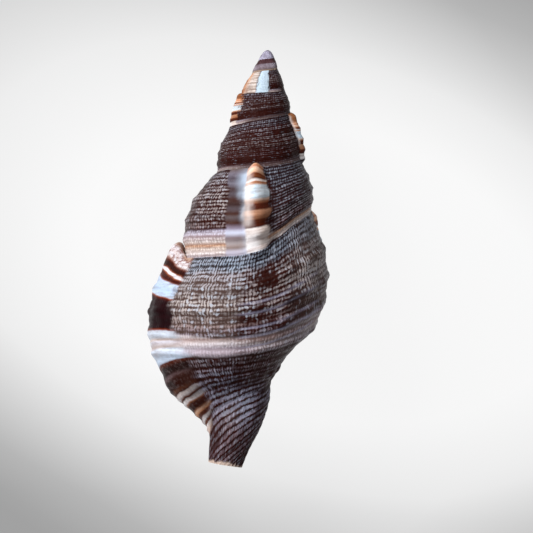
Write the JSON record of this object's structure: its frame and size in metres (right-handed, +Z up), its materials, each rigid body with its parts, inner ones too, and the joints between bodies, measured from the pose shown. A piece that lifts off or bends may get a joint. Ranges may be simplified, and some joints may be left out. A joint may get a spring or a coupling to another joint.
{
  "type": "hairy triton shell",
  "caption": "Dried spindle-shaped sea snail shell with a tall corded spire, rounded varices, a flared toothed lip and a short open canal, lying on its aperture.",
  "frame": {"origin": "centre of the shell's outline from above, on the ground it lies on", "axes": "+Y from the canal's tip towards the apex, +Z up, out of the shell's back; +X towards the side away from the lip"},
  "size_m": [0.0384, 0.0898, 0.0349],
  "materials": {
    "shell": "satin"
  },
  "bodies": {
    "root": {"shell": "shell"}
  },
  "joints": []
}
